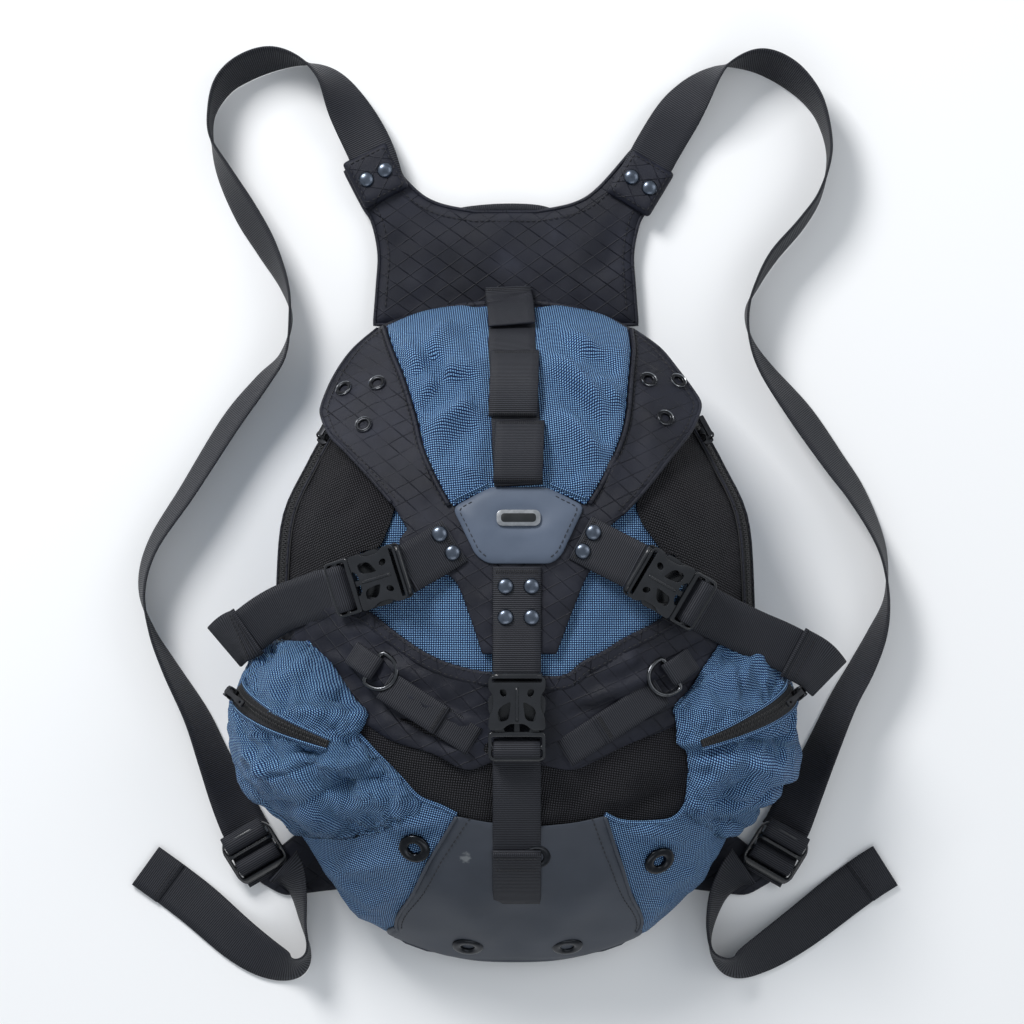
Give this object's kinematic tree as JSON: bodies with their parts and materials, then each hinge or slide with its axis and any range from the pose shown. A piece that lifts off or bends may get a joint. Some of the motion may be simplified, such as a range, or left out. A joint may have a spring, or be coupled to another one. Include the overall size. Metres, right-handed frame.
{
  "type": "backpack",
  "caption": "Daypack lying on its back, with yoke and webbing shoulder straps, buckled front lid, daisy chain, zipped side pockets and rubber boot.",
  "frame": {"origin": "on the surface that the pack lies on, under the middle of the whole pack with its straps laid out", "axes": "+Z out of the bag's front, +Y to the yoke and haul loop, +X to the bag's own left side as worn, which is the right side seen from the front"},
  "size_m": [0.4971, 0.6044, 0.1438],
  "materials": {
    "blue_weave": "coarse basket weave",
    "ripstop": "diamond ripstop",
    "black_mesh": "open mesh",
    "back_foam": "padded spacer mesh",
    "frame_plastic": "satin",
    "boot_rubber": "matte",
    "plate_rubber": "matte",
    "badge_metal": "satin",
    "rivet_metal": "gunmetal, polished",
    "grommet_metal": "gloss black",
    "eyelet_metal": "polished",
    "ring_metal": "gunmetal, polished",
    "zip_metal": "satin black",
    "zip_tape": "coil zip",
    "buckle_plastic": "glossy",
    "webbing": "ribbed webbing"
  },
  "bodies": {
    "pack": {"back_panel": "back_foam", "lumbar_pad": "back_foam", "spine_pad_left": "back_foam", "spine_pad_right": "back_foam", "frame_sheet": "frame_plastic", "yoke": "ripstop", "haul_loop": "webbing", "lid_seam": "ripstop", "side_wall_left": "blue_weave", "side_wall_right": "blue_weave", "upper_front": "blue_weave", "mesh_side_left": "black_mesh", "mesh_side_right": "black_mesh", "bib": "ripstop", "bib_mesh": "black_mesh", "rubber_boot": "boot_rubber", "lower_side_left": "blue_weave", "lower_side_right": "blue_weave", "boot_grommets": "grommet_metal", "side_grommets": "grommet_metal", "pod_left": "blue_weave", "pod_right": "blue_weave", "pod_zip_left": "zip_tape", "pod_zip_right": "zip_tape", "main_zip_left": "zip_tape", "main_zip_right": "zip_tape", "shoulder_strap_left": "webbing", "shoulder_strap_right": "webbing", "strap_tail_left": "webbing", "strap_tail_right": "webbing", "horn_patches": "ripstop", "horn_rivets": "rivet_metal", "lower_wing_left": "ripstop", "lower_wing_right": "ripstop", "side_straps": "webbing", "centre_strap": "webbing", "ring_tabs": "webbing", "ring_straps": "webbing"},
    "lid": {"lid_base": "ripstop", "lid_panel": "blue_weave", "daisy_chain": "webbing", "rubber_plate": "plate_rubber", "badge": "badge_metal", "wing_eyelets": "eyelet_metal", "lid_stubs": "webbing", "lid_rivets": "rivet_metal", "buckle_housings": "buckle_plastic"},
    "plug_left": {"plug_left": "buckle_plastic"},
    "plug_right": {"plug_right": "buckle_plastic"},
    "plug_centre": {"plug_centre": "buckle_plastic"},
    "pod_slider_left": {"pod_slider_left": "zip_metal"},
    "pod_slider_right": {"pod_slider_right": "zip_metal"},
    "pod_pull_left": {"pod_pull_left": "zip_metal"},
    "pod_pull_right": {"pod_pull_right": "zip_metal"},
    "zip_slider_left": {"zip_slider_left": "zip_metal"},
    "zip_slider_right": {"zip_slider_right": "zip_metal"},
    "strap_ring_left": {"strap_ring_left": "ring_metal"},
    "strap_ring_right": {"strap_ring_right": "ring_metal"},
    "ladder_lock_left": {"ladder_lock_left": "buckle_plastic"},
    "ladder_lock_right": {"ladder_lock_right": "buckle_plastic"}
  },
  "joints": [
    {"name": "lid_lift", "type": "hinge", "parent": "pack", "child": "lid", "pos_m": [0, 0.132, 0.018], "axis": [-1, 0, 0], "range_deg": [0, 12]},
    {"name": "plug_left_release", "type": "slide", "parent": "lid", "child": "plug_left", "axis": [-0.8552, -0.2661, -0.4447], "range_m": [0, 0.028]},
    {"name": "plug_right_release", "type": "slide", "parent": "lid", "child": "plug_right", "axis": [0.79, -0.4624, -0.4027], "range_m": [0, 0.028]},
    {"name": "plug_centre_release", "type": "slide", "parent": "lid", "child": "plug_centre", "axis": [0, -0.9986, -0.0528], "range_m": [0, 0.028]},
    {"name": "pod_slider_left_travel", "type": "slide", "parent": "pack", "child": "pod_slider_left", "axis": [0.5251, -0.3858, 0.7586], "range_m": [0, 0.028]},
    {"name": "pod_pull_left_swing", "type": "hinge", "parent": "pod_slider_left", "child": "pod_pull_left", "pos_m": [-0.18001, -0.10992, 0.0838], "axis": [-0.5921, -0.8059, 0], "range_deg": [0, 150]},
    {"name": "zip_slider_left_travel", "type": "slide", "parent": "pack", "child": "zip_slider_left", "axis": [-0.4627, -0.8666, 0.1869], "range_m": [0, 0.026]},
    {"name": "pod_slider_right_travel", "type": "slide", "parent": "pack", "child": "pod_slider_right", "axis": [-0.5251, -0.3858, 0.7586], "range_m": [0, 0.028]},
    {"name": "pod_pull_right_swing", "type": "hinge", "parent": "pod_slider_right", "child": "pod_pull_right", "pos_m": [0.18001, -0.10992, 0.0838], "axis": [-0.5921, 0.8059, 0], "range_deg": [0, 150]},
    {"name": "zip_slider_right_travel", "type": "slide", "parent": "pack", "child": "zip_slider_right", "axis": [0.4627, -0.8666, 0.1869], "range_m": [0, 0.026]},
    {"name": "strap_ring_left_swing", "type": "hinge", "parent": "pack", "child": "strap_ring_left", "pos_m": [-0.088, -0.093, 0.1217], "axis": [-0.5446, -0.8387, 0], "range_deg": [0, 100]},
    {"name": "strap_ring_right_swing", "type": "hinge", "parent": "pack", "child": "strap_ring_right", "pos_m": [0.097, -0.097, 0.11786], "axis": [-0.5446, 0.8387, 0], "range_deg": [0, 100]},
    {"name": "ladder_lock_left_tilt", "type": "hinge", "parent": "pack", "child": "ladder_lock_left", "pos_m": [-0.161, -0.231, 0.0034], "axis": [0.866, 0.5, 0], "range_deg": [0, 20]},
    {"name": "ladder_lock_right_tilt", "type": "hinge", "parent": "pack", "child": "ladder_lock_right", "pos_m": [0.161, -0.231, 0.0034], "axis": [0.866, -0.5, 0], "range_deg": [0, 20]}
  ]
}
